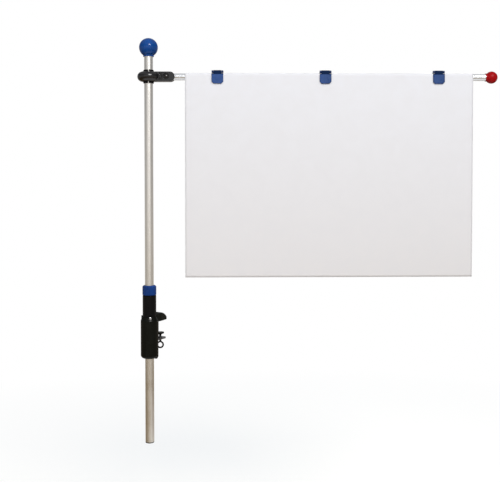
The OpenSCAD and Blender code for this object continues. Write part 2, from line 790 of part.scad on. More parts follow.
// The hood from the front over the top, down to where the plate starts
module hood() difference() {
  union() {
    intersection() {
      hinge_circle(hood_r);
      translate([hinge_v, hinge_w]) polygon([[0, 0], [hood_r * 2, 0], [hood_r * 2, hood_r * 2],
        [-hood_r * 2, hood_r * 2], [hood_r * 4 * cos(hood_angle), hood_r * 4 * sin(hood_angle)]]);
    }
    translate([flap_in, hinge_w - lug_r - 1]) square([flap_t, lug_r + 1]);
  }
  hinge_circle(bay_r);
}

module flap_lug() difference() {
  hinge_circle(bay_r + slip);
  hinge_circle(pin_d / 2 + fit);
}

module flap_outline() {
  half = clip_w / 2;
  high = hinge_w - lug_r - 2 * seat;
  polygon([[-half, high], [-half, flap_chamfer - flap_drop], [flap_chamfer - half, -flap_drop],
           [half - flap_chamfer, -flap_drop], [half, flap_chamfer - flap_drop], [half, high]]);
}

module flap(i) color(blue) at_clip(i) {
  hood_w = clip_w - 2 * lug_w - 2 * seat;
  to_front(flap_in, flap_out) flap_outline();
  along_arm(hood_w) hood();
  both_lugs(hood_w / 2, flap_lug_w) along_arm(flap_lug_w) flap_lug();
}

// The spring's wire: a front leg on top of the coil, the coil's turns and a back leg that points down
coil_steps = 8;
wire_sides = 6;
coil_end = 180 + 360 * coil_turns;
coil_angles = [for (k = [0 : coil_steps * (coil_end - 90) / 360]) 90 + k * 360 / coil_steps];
coil_start_x = -coil_pitch * (coil_end - 90) / 720;

function coil_point(a) = [coil_start_x + coil_pitch * (a - 90) / 360, -coil_r * cos(a), coil_r * sin(a)];
function coil_out(a) = [0, -cos(a), sin(a)];
function coil_way(a) = [0, sin(a), cos(a)];
function wire_ring(p, out, way) = [for (s = [0 : wire_sides - 1])
  let (side = cross(way, out), t = s * 360 / wire_sides) p + wire_d / 2 * (cos(t) * out + sin(t) * side)];

spring_rings = concat(
  [wire_ring(coil_point(90) - front_leg * coil_way(90), coil_out(90), coil_way(90))],
  [for (a = coil_angles) wire_ring(coil_point(a), coil_out(a), coil_way(a))],
  [wire_ring(coil_point(coil_end) + back_leg * coil_way(coil_end), coil_out(coil_end), coil_way(coil_end))]
);
spring_points = [for (ring = spring_rings) each ring];
ring_count = len(spring_rings);
spring_faces = concat(
  [[for (s = [0 : wire_sides - 1]) s]],
  [for (k = [0 : ring_count - 2], s = [0 : wire_sides - 1])
    let (n = (s + 1) % wire_sides, low = k * wire_sides, up = low + wire_sides) each [[low + s, up + s, up + n], [low + s, up + n, low + n]]],
  [[for (s = [wire_sides - 1 : -1 : 0]) (ring_count - 1) * wire_sides + s]]
);

// Least gap of the coil to itself, measured between points at least three quarters of a turn apart
coil_points = [for (a = coil_angles) coil_point(a)];
least_gap = min([for (i = [0 : len(coil_points) - 1], j = [0 : len(coil_points) - 1])
  if (j - i >= coil_steps * 3 / 4) norm(coil_points[j] - coil_points[i]) - wire_d]);
echo(least_gap_of_spring = least_gap);

module spring(i) color(steel) at_clip(i) translate([0, -hinge_v, hinge_w]) polyhedron(spring_points, spring_faces);

// Sheet

module plan_sheet() color(paper) at_arm() to_front(sheet_back, sheet_front)
  translate([sheet_l, sheet_top - sheet_h]) square([sheet_w, sheet_h]);

clamp_body();
holder_sleeve();
sleeve_screws();
jaw_pad();
lower_bracket();
bracket_screws();
pressure_pad();
clamp_screw();
collet_ring();
collar_nut();
pole_liner();
pole_tube();
pole_end_plug();
top_ball();
split_bush();
hub_front_shell();
hub_rear_shell();
arm_screw();
arm_nut();
arm_tube();
arm_ball();
saddle(0);  // clip_1_saddle
pin(0);  // clip_1_pin
spring(0);  // clip_1_spring
flap(0);  // clip_1_flap
saddle(1);  // clip_2_saddle
pin(1);  // clip_2_pin
spring(1);  // clip_2_spring
flap(1);  // clip_2_flap
saddle(2);  // clip_3_saddle
pin(2);  // clip_3_pin
spring(2);  // clip_3_spring
flap(2);  // clip_3_flap
plan_sheet();
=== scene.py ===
"""Tabletop plan holder: looks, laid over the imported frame."""
import math

import bmesh
import bpy
from mathutils import Matrix, Vector, noise


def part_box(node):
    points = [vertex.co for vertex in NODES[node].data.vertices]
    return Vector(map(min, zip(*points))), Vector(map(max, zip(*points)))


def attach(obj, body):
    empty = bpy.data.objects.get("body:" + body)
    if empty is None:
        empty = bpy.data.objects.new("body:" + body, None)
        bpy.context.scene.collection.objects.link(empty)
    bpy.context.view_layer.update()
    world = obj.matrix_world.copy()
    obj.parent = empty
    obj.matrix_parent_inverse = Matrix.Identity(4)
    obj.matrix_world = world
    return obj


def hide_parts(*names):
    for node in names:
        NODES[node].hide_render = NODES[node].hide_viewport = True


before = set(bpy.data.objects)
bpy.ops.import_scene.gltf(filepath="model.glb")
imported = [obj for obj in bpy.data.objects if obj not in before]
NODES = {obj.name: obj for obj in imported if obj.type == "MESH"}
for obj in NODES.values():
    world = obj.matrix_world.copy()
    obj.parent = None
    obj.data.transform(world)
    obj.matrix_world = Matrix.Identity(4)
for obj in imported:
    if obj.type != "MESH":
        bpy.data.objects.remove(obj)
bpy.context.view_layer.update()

MM = 0.001

# Directions of the frame: along the arm, behind and before the sheet, and up
TURN = math.radians(35)
ALONG = Vector((math.cos(TURN), math.sin(TURN), 0))
AWAY = Vector((-math.sin(TURN), math.cos(TURN), 0))
FRONT = -AWAY
UP = Vector((0, 0, 1))

# Points on the axes of the pole, the arm and the clamp screw, the same as the solids have
POLE = Vector((0, -0.030, 0))
ARM = Vector((0, -0.030, 0.5075))
SCREW = Vector((0, 0.004, 0))

# The camera as fitted to the photo: its place in metres, its turn from the line that is square
# to the sheet in degrees (yaw, pitch, roll), and its focal length in pixels of the photo
CAMERA_AT = Vector((1.08086, -1.26829, 0.29469))
CAMERA_TURN = (1.168, 1.5, -0.024)
FOCAL_PX, PHOTO_PX = 790, 500
SENSOR = 36
LENS_SHIFT_Y = -0.08

# Lamps: metres before, above and along from the point that they face, size, power, colour, and
# whether metal and gloss mirror them. They face the sheet's middle (mm from the arm's axis).
LAMPS_FACE = (330, 0, -200)
LAMPS = {
    "key": ((2.7, 1.9, 0.72), (1.3, 1.0), 73, (1, 1, 1), True),
    "fill": ((1.7, 0.3, -1.2), (0.9, 1.4), 8, (1, 0.985, 0.96), False),
    "rim": ((-1.4, 1.2, 1.0), (1.0, 0.8), 20, (0.97, 0.985, 1), False),
}

# The floor: a disc well below the pole's foot
FLOOR_AT = (0.25, 0.15, -0.72)
FLOOR_R = 25

# Colours of the plastics
BODY_BLACK = (0.0028, 0.0034, 0.0020)
SLEEVE_BLACK = (0.0026, 0.0024, 0.0026)
HUB_BLACK = (0.0050, 0.0050, 0.0062)
BUSH_BLACK = (0.0045, 0.0045, 0.0050)
BALL_BLUE = (0.002, 0.054, 0.250)
NUT_BLUE = (0.006, 0.044, 0.215)
CLIP_BLUE = (0.026, 0.072, 0.235)
# The saddle's darker blue is painted shade over the clip's top band
SADDLE_SHADE_BLUE = (0.006, 0.022, 0.095)
BALL_RED = (0.365, 0.0015, 0.0035)

# Above this height a clip's flap is its hood, which the photo shows darker; the plastic there is
# darker and less glossy with painted shade
HOOD_SHADE_Z = ARM.z + 0.0046

# Lengths of tube, in metres from the frame's origin, that collar, hub and clips have rubbed
POLE_WEAR = [(0.08, 0.10), (0.47, 0.55)]
ARM_WEAR = [(0.06, 0.16), (0.26, 0.40), (0.52, 0.62)]

# Pan head screws in mm: head radius and height, shank radius and length, width of the cross
SLEEVE_SCREW = (3, 1.76, 1.5, 3.6, 3.3)
BRACKET_SCREW = (3.25, 1.8, 1.75, 7.0, 3.6)
ARM_SCREW = (3.75, 2.2, 2, 19.1, 4.3)

# Where their heads seat, in mm and degrees, and how far each cross is turned, in radians
SLEEVE_SCREW_R, SLEEVE_SCREW_Z, SLEEVE_SCREW_ANGLE, SLEEVE_SCREW_SPIN = 15.0, 11, 48, 0.35
BRACKET_SCREW_Y, BRACKET_SCREWS = 18.2, {-48.22: 0.18, -59.02: 0.38}
ARM_SCREW_U, ARM_SCREW_V, ARM_SCREW_SPIN = 36.5, 8.1, 0.6

# Heights of the sheet's upper and lower edge, between which its tone grows warmer
SHEET_Z = (0.5145, 0.0945)

# The sheet in mm: its size, its left edge along the arm, its place before the arm's axis, its
# thickness, the length below the axis that the clips keep taut, and the further length over
# which the cockle comes in
SHEET_W, SHEET_H = 594.0, 420.0
SHEET_LEFT, SHEET_OUT, SHEET_THICK = 75, 7.45, 0.28
SHEET_TAUT, SHEET_EASE = 18, 260.0
SHEET_COLS, SHEET_ROWS = 132, 96


def at_arm(u, v, w):
    """A point by its distance along the arm, towards the front and up, in millimetres."""
    return ARM + ALONG * (u * MM) + FRONT * (v * MM) + UP * (w * MM)


# ---------------------------------------------------------------- view and light

def axes_to_matrix(x, y, z, at):
    m = Matrix((x, y, z)).transposed().to_4x4()
    m.translation = at
    return m


def add_object(name, data):
    obj = bpy.data.objects.new(name, data)
    bpy.context.scene.collection.objects.link(obj)
    return obj


def make_camera():
    yaw, pitch, roll = (math.radians(a) for a in CAMERA_TURN)
    level = AWAY * math.cos(yaw) + ALONG * math.sin(yaw)
    right = ALONG * math.cos(yaw) - AWAY * math.sin(yaw)
    look = level * math.cos(pitch) - UP * math.sin(pitch)
    top = right.cross(look)
    x = right * math.cos(roll) + top * math.sin(roll)
    y = top * math.cos(roll) - right * math.sin(roll)
    data = bpy.data.cameras.new("camera")
    data.sensor_width = SENSOR
    data.lens = SENSOR * FOCAL_PX / PHOTO_PX
    data.shift_y = LENS_SHIFT_Y
    data.clip_start, data.clip_end = 0.05, 60
    cam = add_object("camera", data)
    cam.matrix_world = axes_to_matrix(x, y, -look, CAMERA_AT)
    bpy.context.scene.camera = cam


def make_lamps():
    middle = at_arm(*LAMPS_FACE)
    for name, (place, size, power, colour, mirrored) in LAMPS.items():
        data = bpy.data.lights.new(name, "AREA")
        data.shape = "RECTANGLE"
        data.size, data.size_y = size
        data.energy = power
        data.color = colour
        lamp = add_object(name, data)
        at = middle + FRONT * place[0] + UP * place[1] + ALONG * place[2]
        z = (at - middle).normalized()
        x = UP.cross(z).normalized()
        lamp.matrix_world = axes_to_matrix(x, z.cross(x), z, at)
        lamp.visible_camera = False
        lamp.visible_glossy = mirrored


class Tree:
    """Builds a node tree with few words. A value may be a number, a colour or a socket."""

    def __init__(self, tree):
        self.tree = tree
        tree.nodes.clear()

    def add(self, kind, ins=(), **props):
        n = self.tree.nodes.new(kind)
        for k, v in props.items():
            setattr(n, k, v)
        for k, v in dict(ins).items():
            if isinstance(v, bpy.types.NodeSocket):
                self.tree.links.new(v, n.inputs[k])
            else:
                n.inputs[k].default_value = v
        return n

    def math(self, op, a, b, clamp=False):
        return self.add("ShaderNodeMath", {0: a, 1: b}, operation=op, use_clamp=clamp).outputs[0]

    def times(self, first, *others):
        for value in others:
            first = self.math("MULTIPLY", first, value)
        return first

    def vec(self, op, a, b=(0, 0, 0)):
        n = self.add("ShaderNodeVectorMath", {0: a, 1: b}, operation=op)
        return n.outputs["Value" if op in ("DOT_PRODUCT", "LENGTH") else "Vector"]

    def dot(self, a, b):
        return self.vec("DOT_PRODUCT", a, tuple(b) if isinstance(b, Vector) else b)

    def height(self, vector):
        return self.add("ShaderNodeSeparateXYZ", {0: vector}).outputs[2]

    def remap(self, value, low, high, to_low=0.0, to_high=1.0):
        return self.add("ShaderNodeMapRange", {
            "Value": value, "From Min": low, "From Max": high,
            "To Min": to_low, "To Max": to_high}).outputs["Result"]

    def mix(self, factor, a, b, blend="MIX"):
        return self.add("ShaderNodeMix", {0: factor, 6: a, 7: b},
                        data_type="RGBA", blend_type=blend).outputs[2]

    def mix_values(self, factor, a, b):
        return self.add("ShaderNodeMix", {0: factor, 2: a, 3: b}, data_type="FLOAT").outputs[0]

    def mix_shaders(self, factor, a, b):
        return self.add("ShaderNodeMixShader", {0: factor, 1: a, 2: b}).outputs[0]

    def glow(self, colour, strength):
        return self.add("ShaderNodeEmission", {"Color": colour, "Strength": strength}).outputs[0]

    def noise(self, vector, scale, detail=2.0, rough=0.5, distort=0.0):
        return self.add("ShaderNodeTexNoise", {
            "Vector": vector, "Scale": scale, "Detail": detail,
            "Roughness": rough, "Distortion": distort}).outputs["Fac"]

    def place(self, vector, move=(0, 0, 0), turn=(0, 0, 0), scale=(1, 1, 1)):
        return self.add("ShaderNodeMapping", {
            "Vector": vector, "Location": move, "Rotation": turn, "Scale": scale}).outputs[0]

    def bump(self, height, distance, strength, normal=None):
        ins = {"Height": height, "Distance": distance, "Strength": strength}
        if normal is not None:
            ins["Normal"] = normal
        return self.add("ShaderNodeBump", ins).outputs[0]

    def rays(self):
        """1 where the eye sees the surface, also through glass, and 1 in metal and gloss."""
        path = self.add("ShaderNodeLightPath").outputs
        seen = self.math("MAXIMUM", path["Is Camera Ray"], path["Is Transmission Ray"], clamp=True)
        return seen, path["Is Glossy Ray"]


def rgb(*c):
    return (*c, 1.0)


def tint(colour, share, plus=0.0):
    """A darker or paler tone of a colour."""
    return rgb(*(min(1, c * share + plus) for c in colour))


WHITE = rgb(1, 1, 1)


def make_world():
    """White to the eye. Metal and gloss mirror pale walls before and behind the object, with a
    dim gap above them, dimmer sides and a faint ceiling. Other rays get an even, dim light."""
    world = bpy.data.worlds.new("studio")
    bpy.context.scene.world = world
    world.use_nodes = True
    t = Tree(world.node_tree)
    way = t.add("ShaderNodeTexCoord").outputs["Generated"]
    depth, side, up = t.dot(way, FRONT), t.dot(way, ALONG), t.dot(way, UP)
    before = t.remap(depth, 0.45, 0.98, 0.0, 0.66)
    behind = t.remap(depth, -0.45, -0.98, 0.0, 0.26)
    sides = t.remap(side, -0.2, 0.9, 0.45, 0.40)
    gap = t.times(t.remap(up, 0.16, 0.26), t.remap(up, 0.62, 0.48))
    ceiling = t.remap(up, 0.5, 0.8, 0.0, 0.12)
    walls = t.math("ADD", t.math("ADD", before, behind), sides)
    walls = t.math("ADD", t.times(walls, t.remap(gap, 0.0, 1.0, 1.0, 0.40)), ceiling)
    even = t.math("ADD", t.remap(depth, -1.0, 1.0, 0.11, 0.33), t.remap(up, -0.2, 0.9, 0.0, 0.09))
    seen, mirrored = t.rays()
    level = t.mix_values(seen, t.mix_values(mirrored, even, walls), 1.0)
    sky = t.add("ShaderNodeBackground", {"Color": WHITE, "Strength": level})
    t.add("ShaderNodeOutputWorld", {"Surface": sky.outputs[0]})


def make_floor():
    """A floor that is white to the eye and shows metal and gloss a painted reflection."""
    bm = bmesh.new()
    bmesh.ops.create_circle(bm, cap_ends=True, radius=FLOOR_R, segments=96)
    mesh = bpy.data.meshes.new("floor")
    bm.to_mesh(mesh)
    bm.free()
    floor = add_object("floor", mesh)
    floor.location = FLOOR_AT
    mat, t, where = start_material("floor")
    seen, mirrored = t.rays()

    # To the eye it keeps the object's shadow near the middle and is plain white further out
    grain = t.remap(t.noise(where, 900, 3), 0.3, 0.7)
    pale = t.mix(grain, rgb(0.50, 0.43, 0.34), rgb(0.53, 0.46, 0.37))
    diffuse = t.add("ShaderNodeBsdfDiffuse", {"Color": pale, "Roughness": 0.6}).outputs[0]
    lift = t.glow(rgb(0.62, 0.675, 0.735), seen)
    near = t.add("ShaderNodeAddShader", {0: diffuse, 1: lift}).outputs[0]
    far = t.glow(WHITE, t.remap(seen, 0.0, 1.0, 0.32, 1.0))
    plain = t.mix_shaders(t.remap(t.vec("LENGTH", where), 1.2, 2.6), near, far)

    # In metal and gloss it shows a painted reflection, white at the pole's foot, under the arm and
    # before it. Around, it is dim and warm near the pole, which paints shade on the lower pole,
    # paler further out, and a little brighter before it.
    foot = t.vec("SUBTRACT", where, (POLE.x - FLOOR_AT[0], POLE.y - FLOOR_AT[1], 0))
    out = t.vec("LENGTH", foot)
    around = t.mix(t.remap(out, 2.5, 4.6), rgb(0.245, 0.165, 0.070), rgb(0.64, 0.60, 0.54))
    before = t.remap(t.dot(t.vec("NORMALIZE", foot), FRONT), 0.40, 0.98, 0.85, 1.12)
    around = t.mix(1.0, around, before, "MULTIPLY")
    u, v = t.dot(foot, ALONG), t.dot(foot, FRONT)
    under_arm = t.times(t.remap(u, -0.45, -0.15), t.remap(u, 1.50, 1.25),
                        t.remap(v, -1.25, -0.95), t.remap(v, 1.20, 0.95))
    clear = t.math("MAXIMUM", under_arm, t.remap(out, 0.95, 0.75))
    painted_reflection = t.glow(t.mix(clear, around, rgb(0.94, 0.93, 0.92)), 1.0)

    surface = t.mix_shaders(mirrored, plain, painted_reflection)
    t.add("ShaderNodeOutputMaterial", {"Surface": surface})
    mesh.materials.append(mat)


# ---------------------------------------------------------------- materials

def start_material(name):
    mat = bpy.data.materials.new(name)
    mat.use_nodes = True
    t = Tree(mat.node_tree)
    return mat, t, t.add("ShaderNodeTexCoord").outputs["Object"]


def finish(t, **ins):
    shader = t.add("ShaderNodeBsdfPrincipled", {k.replace("_", " "): v for k, v in ins.items()})
    t.add("ShaderNodeOutputMaterial", {"Surface": shader.outputs[0]})


def rounded(t, radius):
    """The normal over edges rounded to this radius."""
    return t.add("ShaderNodeBevel", {"Radius": radius}, samples=4).outputs[0]


def edge_mask(t, reach, low=0.995, high=0.80):
    """1 on edges, to a distance that grows with the reach."""
    flat = t.add("ShaderNodeNewGeometry").outputs["Normal"]
    return t.remap(t.dot(rounded(t, reach), flat), low, high)


def recess_shade_mask(t, reach=3.0 * MM):
    """1 in the open, towards 0 down in recesses and seams, where painted shade falls."""
    sky = t.add("ShaderNodeAmbientOcclusion", {"Distance": reach}, samples=6).outputs["AO"]
    return t.remap(sky, 0.25, 0.85)


def plastic(name, colour, rough, level, texture=1.0, wear=0.5, edge=0.3, shift=0.0, shade_band=None,
            rim=0):
    """Moulded plastic: flow marks, a fine eroded texture, smudges, paler rubbed edges and
    recesses made dull and dark by painted shade. Above a band's height painted shade makes the
    plastic darker and less glossy, and a rim is the width in mm of a darker rounding of painted
    shade along its edges. Level is its gloss and shift moves its pattern."""
    mat, t, where = start_material(name)
    there = t.place(where, move=(shift, shift * 0.7, -shift * 0.4))
    flow = t.noise(t.place(there, scale=(1, 1, 0.35)), 45, 3, 0.55, 0.8)
    speck = t.noise(there, 2600, 2, 0.6)
    pebble = t.noise(there, 1100, 3, 0.55)
    smudge = t.noise(there, 110, 6, 0.62, 0.4)

    dark, light = tint(colour, 0.82), tint(colour, 1.20, 0.0015)
    body = t.mix(t.remap(flow, 0.32, 0.68), dark, light)
    body = t.mix(t.remap(speck, 0.62, 0.80, 0.0, 0.30), body, light)
    rub = t.times(edge_mask(t, 2.2 * edge * MM), t.remap(smudge, 0.38, 0.62, 0.15 * wear, wear))
    body = t.mix(rub, body, tint(colour, 1.35, 0.016))
    # Painted shade: darker above the band's height, where the hood is
    if shade_band:
        above = t.remap(t.height(where), shade_band - 0.4 * MM, shade_band + 0.4 * MM)
        body = t.mix(above, body, tint(colour, 0.28))
    # Painted shade: a darker rounding along the edges
    if rim:
        body = t.mix(t.times(edge_mask(t, rim * MM, 0.999, 0.92), 0.85), body, tint(colour, 0.2))
    # Painted shade: darker colour and dimmer reflections in recesses and seams
    unshaded = recess_shade_mask(t)
    body = t.mix(unshaded, tint(colour, 0.35), body)

    matt = t.remap(smudge, 0.30, 0.72, rough - 0.07, rough + 0.09)
    matt = t.math("ADD", matt, t.times(rub, 0.12), clamp=True)
    gloss = t.times(t.remap(unshaded, 0.0, 1.0, 0.15, 1.0), level)
    # Painted shade: dimmer reflections above the band's height
    if shade_band:
        gloss = t.times(gloss, t.remap(above, 0.0, 1.0, 1.0, 0.08))
    turned = t.add("ShaderNodeLayerWeight", {"Blend": 0.5}).outputs["Facing"]
    gloss = t.times(gloss, t.remap(turned, 0.30, 0.85, 1.0, 0.1))

    normal = t.bump(flow, 0.08 * MM, 0.6, rounded(t, edge * MM))
    normal = t.bump(pebble, 0.06 * MM, 0.5 * texture, normal)
    normal = t.bump(speck, 0.022 * MM, 0.6 * texture, normal)
    finish(t, Base_Color=body, Roughness=matt, Specular_IOR_Level=gloss, Normal=normal)
    return mat


def tube_metal(name, turn, cool, warm, wear, rough=0.22, metal=1.0):
    """Satin anodised tube: fine draw lines along its length, which the turn brings to z, and
    faint rings and scuffs over the worn lengths, where pieces slide on it."""
    mat, t, where = start_material(name)
    own = t.place(where, turn=turn)
    lines = t.noise(t.place(own, scale=(5200, 5200, 14)), 1, 4, 0.65)
    broad = t.noise(t.place(own, scale=(420, 420, 3)), 1, 3, 0.6)
    rings = t.noise(t.place(own, scale=(60, 60, 2600)), 1, 3, 0.7)
    cloud = t.noise(own, 26, 4, 0.6, 0.5)
    grains = t.noise(own, 5200, 1)

    along, ease = t.height(own), 4 * MM
    worn = 0.0
    for low, high in wear:
        inside = t.times(t.remap(along, low - ease, low), t.remap(along, high, high + ease, 1, 0))
        worn = t.math("MAXIMUM", worn, inside)
    scuff = t.times(worn, t.remap(rings, 0.50, 0.72))

    tone = t.mix(t.remap(cloud, 0.3, 0.7), rgb(*cool), rgb(*warm))
    tone = t.mix(t.remap(lines, 0.3, 0.7, 0.0, 0.30), tone, tint(cool, 0.70))
    tone = t.mix(t.remap(broad, 0.45, 0.72, 0.0, 0.28), tone, tint(warm, 0.74))
    tone = t.mix(t.times(scuff, 0.28), tone, rgb(0.86, 0.86, 0.86))
    matt = t.math("ADD", t.remap(lines, 0.25, 0.75, rough, rough + 0.20), t.times(scuff, 0.10))
    matt = t.math("ADD", matt, t.remap(cloud, 0.3, 0.7, -0.03, 0.04), clamp=True)
    normal = t.bump(broad, 0.05 * MM, 0.5, rounded(t, 0.2 * MM))
    normal = t.bump(lines, 0.016 * MM, 0.8, normal)
    normal = t.bump(grains, 0.004 * MM, 0.5, normal)
    finish(t, Base_Color=tone, Metallic=metal, Roughness=matt, Normal=normal)
    return mat


def plated_steel(name, colour, rough, dark=False, edge=0.15):
    """Zinc plated or, where dark, blackened steel, bright where it is rubbed."""
    mat, t, where = start_material(name)
    cells = t.add("ShaderNodeTexVoronoi", {
        "Vector": where, "Scale": 900.0, "Randomness": 1.0}).outputs["Distance"]
    cloud = t.noise(where, 240, 5, 0.6, 0.4)
    fine = t.noise(where, 7000, 2, 0.6)
    tone = t.mix(t.remap(cloud, 0.3, 0.7), tint(colour, 0.78), rgb(*colour))
    tone = t.mix(t.remap(cells, 0.0, 0.6, 0.0, 0.15), tone, tint(colour, 1.2))
    bare, most = (rgb(0.16, 0.16, 0.165), 0.85) if dark else (rgb(0.80, 0.80, 0.80), 0.4)
    bright = t.times(edge_mask(t, 2.5 * edge * MM), t.remap(cloud, 0.42, 0.60, 0.1, most))
    tone = t.mix(bright, tone, bare)
    mottle = t.math("ADD", cloud, t.times(fine, 0.4))
    matt = t.remap(mottle, 0.45, 0.95, rough - 0.06, rough + 0.14)
    normal = t.bump(cloud, 0.02 * MM, 0.5, rounded(t, edge * MM))
    normal = t.bump(fine, 0.006 * MM, 0.6, normal)
    finish(t, Base_Color=tone, Metallic=1.0, Roughness=matt, Normal=normal)
    return mat


def rubber():
    """Matt rubber with fine moulded ribs across the jaw and a little dust."""
    mat, t, where = start_material("rubber")
    ribs = t.add("ShaderNodeTexWave", {
        "Vector": where, "Scale": 260.0, "Distortion": 0.15, "Detail": 1.0},
        wave_type="BANDS", bands_direction="Y").outputs["Fac"]
    dust = t.noise(where, 420, 5, 0.65)
    fine = t.noise(where, 5200, 2)
    dusty = t.remap(dust, 0.45, 0.75, 0.0, 0.5)
    body = t.mix(dusty, rgb(0.016, 0.016, 0.017), rgb(0.055, 0.053, 0.050))
    body = t.mix(t.times(edge_mask(t, 0.5 * MM), 0.4), body, rgb(0.05, 0.05, 0.05))
    matt = t.remap(dust, 0.3, 0.7, 0.62, 0.86)
    normal = t.bump(ribs, 0.12 * MM, 0.7, rounded(t, 0.2 * MM))
    normal = t.bump(fine, 0.02 * MM, 0.6, normal)
    finish(t, Base_Color=body, Roughness=matt, Specular_IOR_Level=0.3, Normal=normal)
    return mat


def paper():
    """Matt drafting paper: fibres, faint cockle, and slightly warmer towards its lower edge."""
    mat, t, where = start_material("paper")
    fibre = t.noise(t.place(where, scale=(1, 1, 2.2)), 2600, 4, 0.7, 0.6)
    cloud = t.noise(where, 34, 4, 0.55, 0.5)
    cockle = t.noise(where, 9, 2, 0.4)
    lower = t.remap(t.height(where), *SHEET_Z)
    tone = t.mix(lower, rgb(0.835, 0.843, 0.888), rgb(0.822, 0.808, 0.820))
    tone = t.mix(t.remap(cloud, 0.35, 0.65, 0.0, 0.35), tone, rgb(0.800, 0.796, 0.822))
    tone = t.mix(t.remap(fibre, 0.60, 0.82, 0.0, 0.35), tone, rgb(0.72, 0.71, 0.72))
    matt = t.remap(fibre, 0.3, 0.7, 0.62, 0.78)
    normal = t.bump(cockle, 1.0 * MM, 0.35)
    normal = t.bump(fibre, 0.02 * MM, 0.5, normal)
    finish(t, Base_Color=tone, Roughness=matt, Specular_IOR_Level=0.25, Normal=normal)
    return mat


def dress(mat, *names):
    """Puts a material on the nodes of these names."""
    for name in names:
        data = NODES[name].data
        data.materials.clear()
        data.materials.append(mat)


# ---------------------------------------------------------------- new pieces

def new_piece(name, bm, body, mat, replaces=()):
    mesh = bpy.data.meshes.new(name)
    bm.normal_update()
    bm.to_mesh(mesh)
    bm.free()
    for p in mesh.polygons:
        p.use_smooth = True
    obj = add_object(name, mesh)
    mesh.materials.append(mat)
    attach(obj, body)
    if replaces:
        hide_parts(*replaces)
    return obj


def smooth_by_angle(obj, degrees=35):
    """Sharp edges stay sharp, the rest is smooth."""
    bm = bmesh.new()
    bm.from_mesh(obj.data)
    for e in bm.edges:
        e.smooth = len(e.link_faces) == 2 and e.calc_face_angle(0) < math.radians(degrees)
    bm.to_mesh(obj.data)
    bm.free()


def on_circle(radius, angle, z):
    return Vector((radius * math.cos(angle), radius * math.sin(angle), z)) * MM


def revolve(profile, steps=64):
    """A closed solid turned about z from (radius, height) points that start and end on the axis."""
    bm = bmesh.new()
    rings = []
    for r, z in profile:
        count = steps if r > 0 else 1
        rings.append([bm.verts.new(on_circle(r, 2 * math.pi * k / steps, z)) for k in range(count)])
    for low, high in zip(rings, rings[1:]):
        for k in range(steps):
            n = (k + 1) % steps
            corners = ((low, k), (low, n), (high, n), (high, k))
            unique = list(dict.fromkeys(ring[i % len(ring)] for ring, i in corners))
            if len(unique) > 2:
                bm.faces.new(unique)
    return bm


def cross_cutter(length, width, depth, top):
    """A cross-shaped bit, narrower at its tip, that cuts the recess of a screw head."""
    bm = bmesh.new()
    for turn in (0, math.pi / 2):
        made = bmesh.ops.create_cube(bm, size=1)["verts"]
        for v in made:
            tip = v.co.z < 0
            x = math.copysign(length * (0.5 if tip else 1.0) / 2, v.co.x)
            y = math.copysign(width * (0.75 if tip else 1.0) / 2, v.co.y)
            v.co = Vector((x, y, top - depth if tip else top + 1.0)) * MM
        bmesh.ops.rotate(bm, verts=made, matrix=Matrix.Rotation(turn, 3, "Z"))
    return bm


def cut(bm, cutter_bm):
    """The first solid without the second."""
    objs = []
    for b in (bm, cutter_bm):
        mesh = bpy.data.meshes.new("cut")
        bmesh.ops.recalc_face_normals(b, faces=b.faces)
        b.to_mesh(mesh)
        b.free()
        objs.append(add_object("cut", mesh))
    mod = objs[0].modifiers.new("cut", "BOOLEAN")
    mod.operation, mod.solver, mod.object, mod.use_self = "DIFFERENCE", "EXACT", objs[1], True
    bpy.context.view_layer.update()
    out = bmesh.new()
    done = objs[0].evaluated_get(bpy.context.evaluated_depsgraph_get())
    out.from_mesh(done.to_mesh())
    done.to_mesh_clear()
    for o in objs:
        bpy.data.objects.remove(o)
    # Needles of no width, left where the bit's two blades cross, come out
    needle = 0.002 * MM
    bmesh.ops.remove_doubles(out, verts=out.verts, dist=needle)
    bmesh.ops.dissolve_degenerate(out, edges=out.edges, dist=needle)
    return out


def pan_screw(head_r, head_t, shank_r, shank_l, recess):
    """A pan head screw along z, with its head's underside at 0 and a thread on its shank."""
    pitch = shank_r * 0.35
    profile = [(0, -shank_l), (shank_r * 0.7, -shank_l)]
    z = -shank_l + pitch
    while z < -pitch:
        profile += [(shank_r * 0.84, z), (shank_r, z + pitch / 2)]
        z += pitch
    profile += [(shank_r, -0.01), (head_r * 0.94, 0), (head_r, head_t * 0.12)]
    for a in (math.radians(x) for x in range(8, 90, 8)):
        profile.append((head_r * math.cos(a), head_t * 0.42 + head_t * 0.58 * math.sin(a)))
    profile.append((0, head_t))
    return cut(revolve(profile), cross_cutter(recess, recess * 0.24, head_t * 0.62, head_t))


def place_bm(bm, at, axis, spin):
    """Turns a z-axis piece to an axis, spins it about that and moves it there."""
    z = axis.normalized()
    x = (UP if abs(z.z) < 0.9 else ALONG).cross(z).normalized()
    m = axes_to_matrix(x, z.cross(x), z, at) @ Matrix.Rotation(spin, 4, "Z")
    bmesh.ops.transform(bm, matrix=m, verts=bm.verts)
    return bm


def join(*parts):
    """One mesh of several."""
    out = bmesh.new()
    for b in parts:
        mesh = bpy.data.meshes.new("join")
        b.to_mesh(mesh)
        b.free()
        out.from_mesh(mesh)
        bpy.data.meshes.remove(mesh)
    return out


